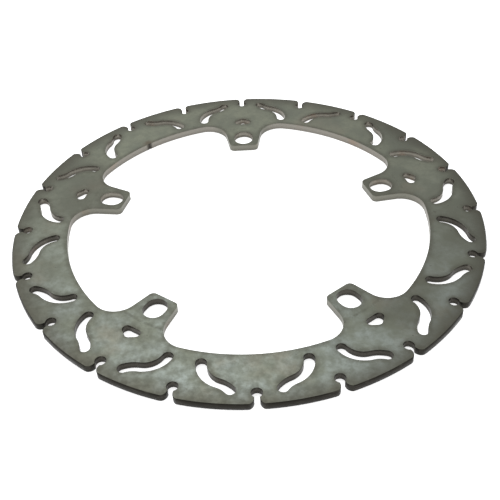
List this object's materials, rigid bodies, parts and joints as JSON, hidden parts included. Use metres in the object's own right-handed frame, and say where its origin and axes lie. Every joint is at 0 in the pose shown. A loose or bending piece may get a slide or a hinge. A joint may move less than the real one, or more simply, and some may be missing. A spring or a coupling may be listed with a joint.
{
  "type": "brake disc rotor",
  "caption": "Flat one-piece steel brake disc for a motorcycle wheel, with a notched rim, S-shaped cleaning slots and inward lugs with radial bolt slots.",
  "frame": {"origin": "the disc's axis of rotation at its underside, which is the plane the disc lies on", "axes": "+Z along the axis of rotation, up out of the visible face; +Y along the axis of one lug; XY is the plane of the plate"},
  "size_m": [0.3198, 0.3198, 0.005],
  "materials": {
    "ground_steel": "dull grey ground faces, darker beam-cut edges"
  },
  "bodies": {
    "root": {"brake_disc": "ground_steel"}
  },
  "joints": []
}
